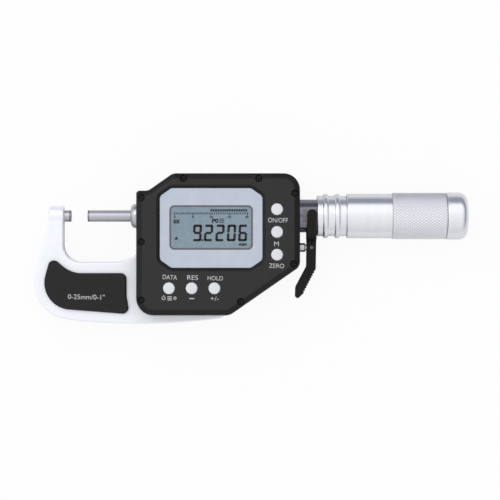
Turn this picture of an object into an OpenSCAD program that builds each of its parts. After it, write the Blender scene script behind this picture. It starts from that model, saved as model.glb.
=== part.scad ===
// Outside micrometer with a digital display and a retract fork, lying on its back.
// X runs along the spindle from the anvil to the thimble and Z points out of the display.
// The origin is the middle of the anvil's measuring face. All sizes are in millimetres.

/* [Measuring axis] */
// Diameter of the anvil and of the spindle
spindle_d = 6.35; // [5.6:0.05:7]
// Opening between the two measuring faces as drawn
gap = 9.22; // [6:0.02:12]
// Travel of the spindle from closed to fully open
travel = 25; // [22:1:26]
// Thickness of the carbide tips
tip_t = 0.9; // [0.6:0.1:1.5]
// Diameter of the screw at the back of the spindle
screw_d = 7.8; // [7.4:0.1:8]
// Way the fork draws the spindle back
retract = 3; // [2:0.1:3.4]

/* [Frame] */
// Thickness of the frame
frame_t = 10; // [9:0.1:10.6]
// Width of the arm behind the anvil
arm_w = 8.1; // [7:0.1:10]
// How far the anvil stands out of the arm
anvil_out = 4; // [3:0.1:6]
// Diameter of the boss that holds the anvil
anvil_boss_d = 10.9; // [10.7:0.1:12]
// Depth of the throat below the spindle axis
throat = 25.5; // [24:0.5:28]
// Depth of the bow's lowest point below the spindle axis
bow_drop = 59.6; // [59:0.2:62]
// Slope of the two halves of the bow's bottom edge in degrees
bow_slope = 6.4; // [5:0.1:7]
// Radius that joins those two halves
bow_r = 340; // [300:10:350]
// Lean of the arm's outer edge in degrees
arm_lean = 15.2; // [13:0.2:17]
// Outer radius of the bow below the anvil
heel_r = 21; // [18:0.5:22]
// Throat radius below the anvil
throat_r = 9.6; // [8:0.2:11]
// Throat radius below the housing
throat_far_r = 19.5; // [18:0.5:20]

/* [Grip plates] */
// Metal left bare round the grip plates
grip_margin = 6.1; // [5.5:0.1:6.5]
// Thickness of the grip plates
grip_t = 1.9; // [1.2:0.1:2.5]
// Rounding of the grip plates' edges
grip_edge = 0.8; // [0.4:0.1:1]
// Room between the grip plates and the housing
grip_stand_off = 5.9; // [4:0.1:8]

/* [Housing] */
// Distance from the anvil's face to the housing
housing_x = 36.9; // [36:0.1:38.5]
// Length of the housing
housing_l = 89.6; // [88:0.2:91]
// Top of the housing above the spindle axis
housing_top = 23.1; // [22:0.1:24.5]
// Bottom of the housing below the spindle axis
housing_low = 54.7; // [53.5:0.1:56]
// Top of the low step above the spindle
step_top = 13.6; // [13:0.1:14.4]
// How far the front face stands above the sleeve
front_over = 8.4; // [8.2:0.1:9.9]
// Back face below the spindle axis
housing_back = 13.5; // [13.4:0.1:14]
// Wall thickness of the housing
wall = 2.5; // [2.2:0.1:2.6]
// Width of the bevel round the front face
bevel = 3.2; // [2.4:0.1:3.6]

/* [Display and keys] */
// Room between the display panel and the key column
panel_gap = 4.75; // [4:0.05:5.5]
// Height of the display panel
panel_h = 43.5; // [42:0.1:45]
// Width of the display window
window_w = 44.2; // [42:0.1:46]
// Height of the display window
window_h = 22.9; // [20:0.1:25]
// Diameter of the keys
key_d = 6.4; // [6:0.1:7]
// Distance between neighbouring keys
key_pitch = 12.4; // [11.8:0.1:12.6]
// Travel of the keys
key_travel = 0.6; // [0.3:0.1:0.7]

/* [Sleeve and collar] */
// How much thinner than the thimble the sleeve is
sleeve_under = 6.4; // [6.2:0.1:6.8]
// Length of sleeve that shows between the housing and the collar
fork_bay = 9.7; // [9.5:0.1:11.5]
// How much thinner than the thimble the retract collar is
collar_under = 2.3; // [1.8:0.1:2.6]
// Length of the retract collar
collar_l = 16.2; // [15.6:0.1:18]
// How far the collar's ribs stay below the thimble
rib_low = 0.05; // [0:0.01:0.2]

/* [Thimble] */
// Diameter of the smooth thimble
thimble_d = 24.6; // [24.2:0.1:25.2]
// Length of the smooth thimble
thimble_l = 24.9; // [24.5:0.1:27.5]
// How far the knurled grip stands out of the thimble
knurl_proud = 0.6; // [0.4:0.05:0.9]
// Length of the knurled grip
knurl_l = 30.35; // [29.8:0.05:34]
// How far the end cap stands out of the thimble
cap_proud = 0.7; // [0.5:0.05:0.9]
// Length of the end cap
cap_l = 11.85; // [11:0.05:14]

/* [Retract fork] */
// Width of the fork's prongs along the spindle
prong_w = 5.25; // [4.6:0.05:5.4]
// Depth of the fork's pivot below the spindle axis
pivot_drop = 17.5; // [17.2:0.1:18.5]
// Diameter of the fork's pin
pin_d = 1.8; // [1.4:0.1:2]
// Pitch of the thumb serrations
serration = 1.55; // [1.4:0.05:1.6]

/* [Fits] */
// Radial room of a part that is pressed or screwed in place
fit = 0.03; // [0.02:0.01:0.04]
// Radial room of a part that slides or turns
run = 0.05; // [0.03:0.01:0.06]
// Room between neighbouring parts that must not touch
room = 0.25; // [0.2:0.01:0.3]

/* [Hidden] */

fn_turned = 96;
fn_hole = 48;
arc_steps = 10;
edge_step = 30;

spindle_r = spindle_d / 2;
screw_r = screw_d / 2;
thimble_r = thimble_d / 2;
sleeve_r = thimble_r - sleeve_under / 2;
collar_r = thimble_r - collar_under / 2;
rib_r = thimble_r - rib_low;
knurl_r = thimble_r + knurl_proud;
end_cap_r = thimble_r + cap_proud;

housing_front = sleeve_r + front_over;
housing_end = housing_x + housing_l;
collar_x = housing_end + fork_bay;
thimble_x = collar_x + collar_l + room;
knurl_x = thimble_x + thimble_l;
cap_x = knurl_x + knurl_l;
end_x = cap_x + cap_l;

// Frame: the arm inside the housing and its boss for the sleeve
arm_x = -anvil_out;
arm_back_x = arm_x - arm_w;
arm_shoulder = 3.3;
far_arm_in = 7.1;
far_arm_w = 13.2;
far_foot_in = 64.1;
far_foot_up = 5;
far_elbow_up = 3.5;
boss_in = 2;
boss_l = 16.6;
far_arm_x = housing_x + far_arm_in;
far_foot_x = housing_x + far_foot_in;
far_foot_y = -bow_drop + far_foot_up;
far_elbow_y = -throat + far_elbow_up;
boss_x = housing_x + wall + boss_in;
boss_end = boss_x + boss_l;
boss_r = sleeve_r + 1.4;
anvil_deep = 6.4;
bow_mid_x = 38.6;
bow_y = -bow_drop - bow_r * (1 / cos(bow_slope) - 1);
arm_dir = [-sin(arm_lean), -cos(arm_lean)];
bow_dir = [-cos(bow_slope), sin(bow_slope)];
heel = meet([arm_back_x, -arm_shoulder], arm_dir, [bow_mid_x, bow_y], bow_dir);
frame_corners = [
    [arm_back_x, anvil_boss_d / 3, 1.6],
    [arm_back_x, -arm_shoulder, 3],
    [heel.x, heel.y, heel_r],
    [bow_mid_x, bow_y, bow_r],
    [far_foot_x, far_foot_y, 8],
    [far_arm_x + far_arm_w, far_elbow_y, 6],
    [far_arm_x + far_arm_w, 5, 1.6],
    [far_arm_x, 5, 1.6],
    [far_arm_x, -throat, throat_far_r],
    [arm_x, -throat, throat_r],
    [arm_x, anvil_boss_d / 3, 1.6]
];

// Grip plates keep the same margin to the bow's edges
grip_lead = 40;
grip_end_x = housing_x - grip_stand_off;
grip_flare = 1.8;
grip_top_y = -throat - grip_margin;
grip_low_dir = [-cos(4.4), sin(4.4)];
grip_drop = 0.85;
grip_foot = [grip_end_x + grip_flare, -bow_drop + grip_margin - grip_drop];
grip_side = [arm_back_x, -arm_shoulder] + grip_margin * [cos(arm_lean), -sin(arm_lean)];
grip_bend = [arm_x + throat_r - grip_margin + 0.9, grip_top_y];
grip_heel = meet(grip_side, arm_dir, grip_foot, grip_low_dir);
grip_head = meet(grip_side, arm_dir, grip_bend, [-cos(grip_lead), sin(grip_lead)]);
grip_corners = [
    [grip_heel.x, grip_heel.y, heel_r - grip_margin],
    [grip_foot.x, grip_foot.y, 3.3],
    [grip_end_x, grip_foot.y + 10, 8],
    [grip_end_x, grip_top_y, 3.3],
    [grip_bend.x, grip_bend.y, throat_r + grip_margin],
    [grip_head.x, grip_head.y, 3.2]
];

// Housing: outline, parting plane and screw places
split_z = frame_t / 2 + 0.1;
floor_z = -housing_back + 2.2;
face_t = 3;
ceiling_z = housing_front - face_t;
slope_in_x = 51.1;
slope_up = 26.8;
step_in = 6.5;
shoulder_in = 20.1;
slope_x = housing_x + slope_in_x;
side_low = housing_low - slope_up;
housing_corners = [
    [housing_x, -housing_low, 9.5],
    [slope_x, -housing_low, 8],
    [housing_end, -side_low, 5],
    [housing_end, housing_top, 9],
    [housing_x + shoulder_in, housing_top, 6],
    [housing_x + step_in, step_top, 5],
    [housing_x, step_top, 1.7]
];
cover_screw_r = 1;
well_r = 1.95;
well_in = 2.9;
well_deep = 4;
slope_dir = [housing_end - slope_x, housing_low - side_low];
slope_in = well_in * [-slope_dir.y, slope_dir.x] / norm(slope_dir);
slope_at = [slope_x, -housing_low] + 0.2 * slope_dir + slope_in;
left_screws = [3.8, 14.4, 8.5];
top_screws = [25.9, 67];
right_screws = [1.5, 1.5];
right_screw_in = 0.7;
cover_screw_places = [
    [housing_x + well_in, step_top - left_screws[0]],
    [housing_x + well_in, -left_screws[1]],
    [housing_x + well_in, -housing_low + left_screws[2]],
    [housing_x + top_screws[0], housing_top - well_in],
    [housing_x + top_screws[1], housing_top - well_in],
    [housing_end - well_in, step_top - right_screws[0]],
    [housing_end - well_in - right_screw_in, -side_low + right_screws[1]],
    slope_at
];
screw_boss_r = 2.9;
screw_tip_z = -1;
frame_screw_r = 1.5;
frame_screw_head_r = 2.7;
frame_screw_well = 2.2;
arm_screw_y = -16;
foot_screw_up = 12.7;
bow_screw = [23, 6.2];
frame_screw_places = [
    [far_arm_x + far_arm_w / 2, arm_screw_y],
    [far_arm_x + far_arm_w / 2, -housing_low + foot_screw_up],
    [far_foot_x - bow_screw.x, -housing_low + bow_screw.y]
];

// Display, board and keys
key_column_in = 12.6;
key_column_y = -9;
panel_in = 13;
panel_y = -6.85;
window_up = 0.25;
key_column = [housing_end - key_column_in, key_column_y];
panel_x = housing_x + panel_in;
panel_w = key_column.x - key_d / 2 - panel_gap - panel_x;
panel_at = [panel_x + panel_w / 2, panel_y];
window_at = panel_at + [0, window_up];
panel_t = 0.8;
panel_front = housing_front - 1.1;
panel_chamfer = [6.3, 4.4];
panel_half = [panel_w, panel_h] / 2;
panel_knee = panel_half - panel_chamfer;
panel_corners = [for (p = [
    [-panel_half.x, panel_knee.y], [-panel_half.x, -panel_knee.y],
    [-panel_knee.x, -panel_half.y], [panel_knee.x, -panel_half.y],
    [panel_half.x, -panel_knee.y], [panel_half.x, panel_knee.y],
    [panel_knee.x, panel_half.y], [-panel_knee.x, panel_half.y]
]) [panel_at.x + p.x, panel_at.y + p.y, 3]];
recess_slope = 1.8;
window_lip = 1.7;
rim_w = 0.3;
board_t = 1.2;
switch_h = 0.25;
key_room = 0.45;
key_proud = 0.6;
key_flange = 0.7;
key_lip_z = ceiling_z - 0.1;
board_front = key_lip_z - key_flange - key_travel - switch_h - 0.25;
key_row_in = 30.4;
key_row_up = 14.95;
key_row = [housing_x + key_row_in, -housing_low + key_row_up];
key_places = [
    key_column + [0, key_pitch],
    key_column,
    key_column - [0, key_pitch],
    key_row - [key_pitch, 0],
    key_row,
    key_row + [key_pitch, 0]
];

// Sleeve, collar and spring
neck_r = sleeve_r - 1.5;
spigot_r = sleeve_r - 1.6;
bush_wall = 2.325;
bush_r = spindle_r + bush_wall;
bush_end = boss_end + 1;
nose_r = bush_r + 1.3;
nose_out = 3.9;
nose_round = 2.9;
inner_r = screw_r + 0.4;
wide_r = sleeve_r - 1.9;
flat_z = sleeve_r - 0.8;
flat_x = housing_end + 1.9;
shoulder_l = 3.3;
tail_in_r = sleeve_r + run;
tail_r = tail_in_r + 1.25;
key_plate_t = 2.4;
key_plate_r = tail_r + 0.6;
tail_l = 34.4;
tail_end = collar_x + tail_l;
neck_end = tail_end - 0.6;
stop_l = 2.4;
spring_wire = 0.95;
spring_r = (neck_r + tail_in_r) / 2;
spring_x = collar_x + shoulder_l + 0.05;
spring_end = neck_end - stop_l - 0.05;
spring_turns = 7;

// Thimble, nut and spindle
bore_r = key_plate_r + 0.1;
web_x = tail_end + key_plate_t + 0.3;
nut_x = web_x + 0.3;
nut_l = 14;
nut_r = 7.4;
web_end = nut_x + nut_l + 1;
back_bore_r = 9.5;
knurl_in_r = thimble_r - 0.7;
cap_spigot = 4;
cap_wall = 2.8;
spindle_end = nut_x + nut_l + gap + 1;
screw_x = nut_x - (travel - gap) - 1;
keyway_w = 1.5;
keyway_floor = screw_r - 0.95;
keyway_x = tail_end - (travel - gap) - 1.5;
keyway_end = tail_end + key_plate_t + gap + 1.5;

// Reader and its scale
bracket_l = 5;
bracket_w = 2.8;
scale_l = travel + 9;
scale_w = 5;
scale_t = 1;
scale_mid = boss_end + scale_l / 2 + gap + 1.8;
scale_z = sleeve_r + 0.4;
slot_w = bracket_w + 0.8;
slot_x = scale_mid - bracket_l / 2 - gap - 0.6;
slot_end = scale_mid + bracket_l / 2 + travel - gap + retract + 0.6;
head_l = 5;
head_x = scale_mid + scale_l / 2 - gap - head_l - 0.5;

// Coin cell and its cap
cell_r = 10;
cell_t = 3.2;
cell_in = 60.1;
cell_y = -29;
cell_at = [housing_x + cell_in, cell_y];
cap_turn_r = 12;
cap_turn_t = 1.3;
cap_turn_z = -housing_back + 0.3;
cell_z = cap_turn_z + cap_turn_t + 0.1;
well_t = 1.4;
cell_well_top = cell_z + cell_t + 0.6;

// Data socket
socket_w = 9;
socket_h = 4;
socket_in = 45.5;
socket_z = -3;
socket_at = [housing_x + socket_in, socket_z];

// Fork and its stud
fork_x = collar_x - room - prong_w;
pivot = [fork_x + prong_w / 2 - 0.2, -pivot_drop];
prong_in = flat_z + 0.3;
prong_t = 2.6;
prong_top = 3.5;
stem_half = 6;
bridge_top = -sleeve_r - 1.3;
bridge_low = bridge_top - 4;
fork_low = 30;
fork_flare = 2.6;
eye_r = 2.3;
eye_half = 2.2;
stud_r = 1.7;
stud_bulb_r = 2.4;
window_half = eye_r + 0.8;
stud_x = housing_end - wall - 2.6;
fork_neck = [0.3, 10.4];
fork_back = [6.4, 21.9];
fork_toe = [6.6, 27.8];
fork_tip = [4.9, 28];
thumb_low = [2.2, 25.4];
thumb_high = [0.5, 12];
fork_corners = [
    [fork_x + prong_w, prong_top, 2.4],
    [fork_x, prong_top, 2.4],
    [fork_x - fork_neck.x, pivot.y - fork_neck.y, 3],
    [fork_x - fork_back.x, pivot.y - fork_back.y, 4],
    [fork_x - fork_toe.x, pivot.y - fork_toe.y, 1.2],
    [fork_x - fork_tip.x, pivot.y - fork_tip.y, 1.2],
    [fork_x - thumb_low.x, pivot.y - thumb_low.y, 1],
    [fork_x + prong_w - thumb_high.x, pivot.y - thumb_high.y, 5]
];
thumb_from = fork_corners[6];
thumb_to = fork_corners[7];
serration_n = 9;
serration_depth = 0.5;

// Point where two lines cross, each given by a point and a direction
function meet(p, u, q, v) = p + u * ((q.x - p.x) * v.y - (q.y - p.y) * v.x) / (u.x * v.y - u.y * v.x);

function unit(v) = v / norm(v);

// Points along an arc round a centre
function arc(c, r, from, to, steps = arc_steps) =
    [for (i = [0:steps]) c + r * [cos(from + (to - from) * i / steps), sin(from + (to - from) * i / steps)]];

// Angle of the turn from one direction to another, within half a turn
function turn(a, b) = (b - a + 540) % 360 - 180;

// Steps of a corner's arc, fewer on a small radius
function corner_steps(r) = r < 2 ? 3 : r < 6 ? 6 : arc_steps;

// Arc that rounds the corner p between its neighbours a and b
function corner(a, p, b, r, steps) =
    let (u = unit(a - p), v = unit(b - p), half = acos(u * v) / 2)
    let (c = p + unit(u + v) * r / sin(half))
    let (s = p + u * r / tan(half) - c, e = p + v * r / tan(half) - c)
    let (from = atan2(s.y, s.x))
    arc(c, r, from, from + turn(from, atan2(e.y, e.x)), steps);

function flat(p) = [p.x, p.y];

// Corners moved inwards by d, each radius kept on the same centre, counterclockwise
function inset(cs, d) =
    let (n = len(cs))
    [for (i = [0:n - 1])
        let (p = flat(cs[i]), u = unit(p - flat(cs[(i + n - 1) % n])), v = unit(flat(cs[(i + 1) % n]) - p))
        let (nu = [-u.y, u.x], nv = [-v.y, v.x], q = p + d * (nu + nv) / (1 + nu * nv))
        let (convex = u.x * v.y - u.y * v.x > 0)
        [q.x, q.y, max(cs[i][2] + (convex ? -d : d), 0.3)]];

// Outline of a polygon whose corners are [x, y, radius], moved inwards by d
function outline(cs, d = 0) =
    let (n = len(cs), in = d == 0 ? cs : inset(cs, d))
    [for (i = [0:n - 1]) each corner(
        flat(in[(i + n - 1) % n]), flat(in[i]), flat(in[(i + 1) % n]), in[i][2], corner_steps(cs[i][2])
    )];

// Layers of a slab with rounded lower and upper edges, each [height, inset]
function rounded_layers(z0, z1, low, high) = concat(
    low > 0 ? [for (a = [0:edge_step:90]) [z0 + low * (1 - cos(a)), low * (1 - sin(a))]] : [[z0, 0]],
    high > 0 ? [for (a = [90:-edge_step:0]) [z1 - high * (1 - cos(a)), high * (1 - sin(a))]] : [[z1, 0]]
);

// Solid through one outline at several heights, whose first corner sees every other corner
module loft(cs, layers) {
    paths = [for (l = layers) outline(cs, l[1])];
    n = len(paths[0]);
    points = [for (i = [0:len(layers) - 1]) each [for (p = paths[i]) [p.x, p.y, layers[i][0]]]];
    sides = [for (i = [0:len(layers) - 2], j = [0:n - 1])
        let (k = (j + 1) % n, a = i * n, b = a + n)
        [a + j, b + j, b + k, a + k]];
    base = [for (j = [0:n - 1]) j];
    top = [for (j = [n:-1:1]) (len(layers) - 1) * n + j % n];
    polyhedron(points, concat(sides, [base, top]), convexity = 6);
}

// Straight prism on an outline moved inwards by d, between two heights
module prism(cs, z0, z1, d = 0) {
    translate([0, 0, z0]) linear_extrude(z1 - z0) polygon(outline(cs, d));
}

// Solid turned about the spindle axis from points [radius, x]
module turned(profile) {
    rotate([0, 90, 0]) rotate_extrude($fn = fn_turned) polygon(profile);
}

// Round bar on the spindle axis
module bar(x0, x1, r) {
    translate([x0, 0, 0]) rotate([0, 90, 0]) cylinder(h = x1 - x0, r = r, $fn = fn_turned);
}

// Upright round post
module post(at, z0, z1, r) {
    translate([at.x, at.y, z0]) cylinder(h = z1 - z0, r = r, $fn = fn_hole);
}

// Bow and both arms, with the bosses for the anvil and the sleeve
module frame() {
    color("gainsboro") difference() {
        union() {
            prism(frame_corners, -frame_t / 2, frame_t / 2);
            turned([
                [0, arm_back_x - 0.15], [anvil_boss_d / 2 - 0.7, arm_back_x - 0.15],
                [anvil_boss_d / 2, arm_back_x + 0.55], [anvil_boss_d / 2, arm_x - 0.45],
                [anvil_boss_d / 2 - 0.6, arm_x + 0.15], [0, arm_x + 0.15]
            ]);
            bar(boss_x, boss_end, boss_r);
        }
        bar(arm_x - anvil_deep, 0, spindle_r + fit);
        bar(boss_x - 1, boss_end + 1, spigot_r + fit);
        post(cover_screw_places[2], screw_tip_z - 1, frame_t, cover_screw_r + fit);
        for (at = frame_screw_places) post(at, -frame_t, 0.5, frame_screw_r + fit);
    }
}

module anvil() {
    color("silver") bar(arm_x - anvil_deep + 0.1, -tip_t, spindle_r);
}

module anvil_tip() {
    color("dimgray") bar(-tip_t, 0, spindle_r);
}

// Insulating plate on the front of the bow
module front_grip() {
    color("black") loft(grip_corners, rounded_layers(frame_t / 2, frame_t / 2 + grip_t, 0, grip_edge));
}

module rear_grip() {
    color("black") loft(grip_corners, rounded_layers(-frame_t / 2 - grip_t, -frame_t / 2, grip_edge, 0));
}

// Guide of the spindle, with the domed nose that shows at the housing's side
module spindle_bush() {
    nose_x = housing_x - nose_out;
    color("silver") turned(concat(
        [[spindle_r + run, nose_x]],
        arc([nose_r - nose_round, nose_x + nose_round], nose_round, -90, 0, 8),
        [[nose_r, boss_x], [bush_r, boss_x], [bush_r, bush_end], [spindle_r + run, bush_end]]
    ));
}

// Tube that carries the collar, with flats for the fork and a slot for the scale's bracket
module sleeve() {
    color("lightgray") difference() {
        turned([
            [bush_r + fit, boss_x], [spigot_r, boss_x], [spigot_r, boss_end], [sleeve_r, boss_end],
            [sleeve_r, collar_x - 0.05], [neck_r, collar_x - 0.05], [neck_r, neck_end],
            [inner_r, neck_end], [inner_r, collar_x - 4], [wide_r, collar_x - 4],
            [wide_r, bush_end + 1.5], [bush_r + fit, bush_end + 1.5]
        ]);
        for (side = [-1, 1])
            translate([flat_x, -sleeve_r, side > 0 ? flat_z : -flat_z - sleeve_r])
                cube([collar_x - flat_x, 2 * sleeve_r, sleeve_r]);
        translate([slot_x, -slot_w / 2, 0]) cube([slot_end - slot_x, slot_w, sleeve_r + 1]);
    }
}

// Ring on the end of the sleeve that the return spring pushes against
module spring_stop() {
    color("dimgray") turned([
        [neck_r + fit, neck_end - stop_l], [tail_in_r - 0.1, neck_end - stop_l],
        [tail_in_r - 0.1, neck_end], [neck_r + fit, neck_end]
    ]);
}

// Space that the frame takes in the walls of the housing's body
module frame_space() {
    prism(frame_corners, -frame_t / 2 - 0.05, split_z + 1, -0.15);
}

// Space round the frame's boss
module boss_space() {
    bar(boss_x - 0.15, boss_end + 0.15, boss_r + 0.15);
}

// Holes in the side walls for the nose and the sleeve
module side_holes() {
    bar(housing_x - 1, boss_x, nose_r + 0.15);
    bar(housing_end - wall - 5, housing_end + 1, sleeve_r + 0.15);
}

// Rear shell, open to the front, with the frame let into its left and lower walls
module housing_body() {
    back = -housing_back;
    color("#383536") difference() {
        union() {
            difference() {
                loft(housing_corners, [[back, 1.6], [back + 0.4, 0.7], [back + 1.5, 0], [split_z, 0]]);
                prism(housing_corners, floor_z, split_z + 1, wall);
            }
            intersection() {
                prism(housing_corners, floor_z - 0.5, split_z, wall / 2);
                for (at = cover_screw_places) post(at, floor_z - 0.5, split_z, screw_boss_r);
            }
            for (at = frame_screw_places) post(at, floor_z - 0.5, -frame_t / 2 - 0.05, 4);
            post(cell_at, floor_z - 0.5, cell_well_top, cell_r + 0.2 + well_t);
        }
        frame_space();
        boss_space();
        side_holes();
        post(cell_at, back - 1, cell_well_top + 1, cell_r + 0.2);
        post(cell_at, back - 1, cap_turn_z + cap_turn_t, cap_turn_r + 0.15);
        for (at = cover_screw_places) post(at, screw_tip_z - 1, split_z + 1, cover_screw_r + fit);
        for (at = frame_screw_places) {
            post(at, back - 1, 0, frame_screw_r + 0.1);
            post(at, back - 1, back + frame_screw_well, frame_screw_head_r + 0.2);
        }
        translate([housing_end - wall - 1, pivot.y, 0]) rotate([0, 90, 0])
            cylinder(h = wall + 2, r = stud_r + fit, $fn = fn_hole);
        translate([socket_at.x, housing_top - wall / 2, socket_at.y])
            cube([socket_w + 2 * fit, 3 * wall, socket_h + 2 * fit], center = true);
    }
}

// Corners of the display window, grown on all sides
function display_box(grow, r) =
    let (w = window_w / 2 + grow, h = window_h / 2 + grow)
    [for (s = [[-1, 1], [-1, -1], [1, -1], [1, 1]]) [window_at.x + s.x * w, window_at.y + s.y * h, r]];

// Front shell with the bevelled face, the sunk display and the screw wells
module front_cover() {
    front = housing_front;
    color("#383536") difference() {
        union() {
            difference() {
                loft(housing_corners, [
                    [split_z, 0], [front - 2.5, 0], [front - 1.8, 0.3], [front - 1.25, 0.85],
                    [front - 0.25, bevel - 0.5], [front, bevel]
                ]);
                prism(housing_corners, split_z - 1, ceiling_z, wall);
            }
            intersection() {
                prism(housing_corners, split_z, ceiling_z + 0.5, wall / 2);
                for (at = cover_screw_places) post(at, split_z, ceiling_z + 0.5, screw_boss_r);
            }
        }
        boss_space();
        side_holes();
        for (at = cover_screw_places) {
            post(at, split_z - 1, front, cover_screw_r + 0.1);
            post(at, front - well_deep, front + 1, well_r);
        }
        for (at = key_places) post(at, ceiling_z - 1, front + 1, key_d / 2 + key_room);
        intersection() {
            loft(panel_corners, [
                [panel_front - panel_t, -0.1], [panel_front, -0.1], [panel_front + 0.15, -0.35],
                [front - 0.35, -recess_slope + 0.5], [front + 0.35, -recess_slope - 0.5]
            ]);
            prism(housing_corners, ceiling_z, front + 0.3, bevel + rim_w);
        }
        prism(display_box(window_lip, 1), ceiling_z - 1, panel_front);
    }
}

// Eight screws that hold the front cover, heads deep in their wells
module cover_screws() {
    head_z = housing_front - well_deep;
    color("#2a2a2c") for (at = cover_screw_places) {
        post(at, screw_tip_z, head_z + 0.2, cover_screw_r);
        post(at, head_z, head_z + 1.5, well_r - 0.1);
    }
}

// Three screws from the back that hold the housing to the frame
module frame_screws() {
    color("#2a2a2c") for (at = frame_screw_places) {
        post(at, -housing_back + frame_screw_well - 0.1, 0, frame_screw_r);
        post(at, -housing_back + 0.4, -housing_back + frame_screw_well, frame_screw_head_r);
    }
}

// Printed panel round the display window
module display_panel() {
    color("#b9c3d4") difference() {
        prism(panel_corners, panel_front - panel_t, panel_front);
        prism(display_box(0, 2), panel_front - panel_t - 1, panel_front + 1);
    }
}

// Display glass, stepped so that its front stands in the panel's window
module display_glass() {
    glass_lip = window_lip - 0.2;
    glass_room = 0.15;
    lip_z = panel_front - panel_t - 0.1;
    color("#a9bcc0") union() {
        prism(display_box(glass_lip, 1), board_front, lip_z);
        prism(display_box(-glass_room, 1.85), board_front, panel_front - 0.15);
    }
}

module circuit_board() {
    color("darkgreen") difference() {
        prism(housing_corners, board_front - board_t, board_front, wall + 0.6);
        for (at = cover_screw_places)
            post(at, board_front - 2 * board_t, board_front + 1, screw_boss_r + 0.4);
    }
}

module key_switches() {
    color("gold") for (at = key_places) post(at, board_front, board_front + switch_h, 2.4);
}

// Block under the board that reads the scale
module reader_head() {
    head_z = scale_z + scale_t + 0.2;
    head_h = board_front - board_t - head_z;
    color("black") translate([head_x, -scale_w / 2, head_z]) cube([head_l, scale_w, head_h]);
}

module coin_cell() {
    color("lightgray") post(cell_at, cell_z, cell_z + cell_t, cell_r);
}

// Contact spring that lies across the cell's well and dips onto the cell
module cell_contact() {
    reach = cell_r + 0.2 + well_t;
    strip_w = 6;
    strip_t = 0.4;
    dimple_r = 2.4;
    color("goldenrod") union() {
        translate([cell_at.x - reach, cell_at.y - strip_w / 2, cell_well_top])
            cube([2 * reach, strip_w, strip_t]);
        post(cell_at, cell_z + cell_t + 0.1, cell_well_top + 0.1, dimple_r);
    }
}

// Connector set into the housing's upper wall
module data_socket() {
    shell = 0.6;
    deep = 2 * wall;
    color("#222224") translate([socket_at.x - socket_w / 2, housing_top - deep, socket_at.y - socket_h / 2])
        difference() {
            cube([socket_w, deep - 0.2, socket_h]);
            translate([shell, shell, shell]) cube([socket_w - 2 * shell, deep, socket_h - 2 * shell]);
        }
}

// Stud in the housing's end wall, with the eye that the fork pivots on
module fork_stud() {
    bulb_l = 1.9;
    bulb_round = 0.9;
    color("silver") difference() {
        union() {
            translate([stud_x, pivot.y, 0]) rotate([0, 90, 0])
                cylinder(h = pivot.x - stud_x, r = stud_r, $fn = fn_hole);
            translate([housing_end + 0.1, pivot.y, 0]) rotate([0, 90, 0]) rotate_extrude($fn = fn_hole)
                polygon(concat(
                    [[0, 0], [stud_bulb_r, 0]],
                    arc([stud_bulb_r - bulb_round, bulb_l - bulb_round], bulb_round, 0, 90, 6),
                    [[0, bulb_l]]
                ));
            post(pivot, -eye_half, eye_half, eye_r);
        }
        post(pivot, -eye_half - 1, eye_half + 1, pin_d / 2 + fit);
    }
}

module stud_nut() {
    nut_across = 6.6;
    nut_h = housing_end - wall - stud_x - 0.25;
    color("dimgray") difference() {
        translate([stud_x + 0.2, pivot.y, 0]) rotate([0, 90, 0])
            cylinder(h = nut_h, r = nut_across / 2, $fn = 6);
        translate([stud_x - 1, pivot.y, 0]) rotate([0, 90, 0])
            cylinder(h = 2 * nut_h + 2, r = stud_r + fit, $fn = fn_hole);
    }
}

module fork_pin() {
    color("silver") post(pivot, -stem_half, stem_half, pin_d / 2);
}

// Fork seen from the front, with the thumb serrations cut along its lower edge
module fork_side() {
    along = flat(thumb_to) - flat(thumb_from);
    start = flat(thumb_from) + unit(along) * 1.3;
    difference() {
        polygon(outline(fork_corners));
        for (i = [0:serration_n - 1])
            translate(start + unit(along) * serration * i)
                rotate(45 + atan2(along.y, along.x)) square(serration_depth * sqrt(2), center = true);
    }
}

// Fork seen along the spindle: two prongs, a bridge below the sleeve and a stem with a window
module fork_end() {
    out = prong_in + prong_t;
    low = pivot.y - fork_low;
    flare_y = bridge_low + fork_flare;
    over = prong_top + 1;
    difference() {
        polygon(outline([
            [over, out, 0.3], [flare_y, out, 3], [bridge_low, stem_half, 2.4], [low, stem_half, 1],
            [low, -stem_half, 1], [bridge_low, -stem_half, 2.4], [flare_y, -out, 3], [over, -out, 0.3],
            [over, -prong_in, 0.3], [bridge_top, -prong_in, 2.5],
            [bridge_top, prong_in, 2.5], [over, prong_in, 0.3]
        ]));
        translate([pivot.y - window_half, -eye_half - run]) square([2 * window_half, 2 * (eye_half + run)]);
    }
}

// Lever that draws the collar back, straddling the sleeve
module retract_fork() {
    depth = prong_in + prong_t + 1;
    color("#1c1c1e") difference() {
        intersection() {
            translate([0, 0, -depth]) linear_extrude(2 * depth) fork_side();
            translate([fork_x - fork_low / 2, 0, 0]) rotate([90, 0, 90]) linear_extrude(fork_low) fork_end();
        }
        post(pivot, -depth, depth, pin_d / 2 + run);
    }
}

// Ribbed collar that the fork pushes, with the tail that carries the thimble
module retract_collar() {
    rib_h = rib_r - collar_r;
    rib_half = 1.4;
    ribs = [collar_x + 4.7, collar_x + 11.2];
    color("silver") turned(concat(
        [[neck_r + run, collar_x], [collar_r - 0.4, collar_x], [collar_r, collar_x + 0.4]],
        [for (x = ribs) each [for (a = [0:22.5:180]) [collar_r + rib_h * sin(a), x - rib_half * cos(a)]]],
        [
            [collar_r, collar_x + collar_l], [tail_r, collar_x + collar_l], [tail_r, tail_end],
            [tail_in_r, tail_end], [tail_in_r, collar_x + shoulder_l], [neck_r + run, collar_x + shoulder_l]
        ]
    ));
}

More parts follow.
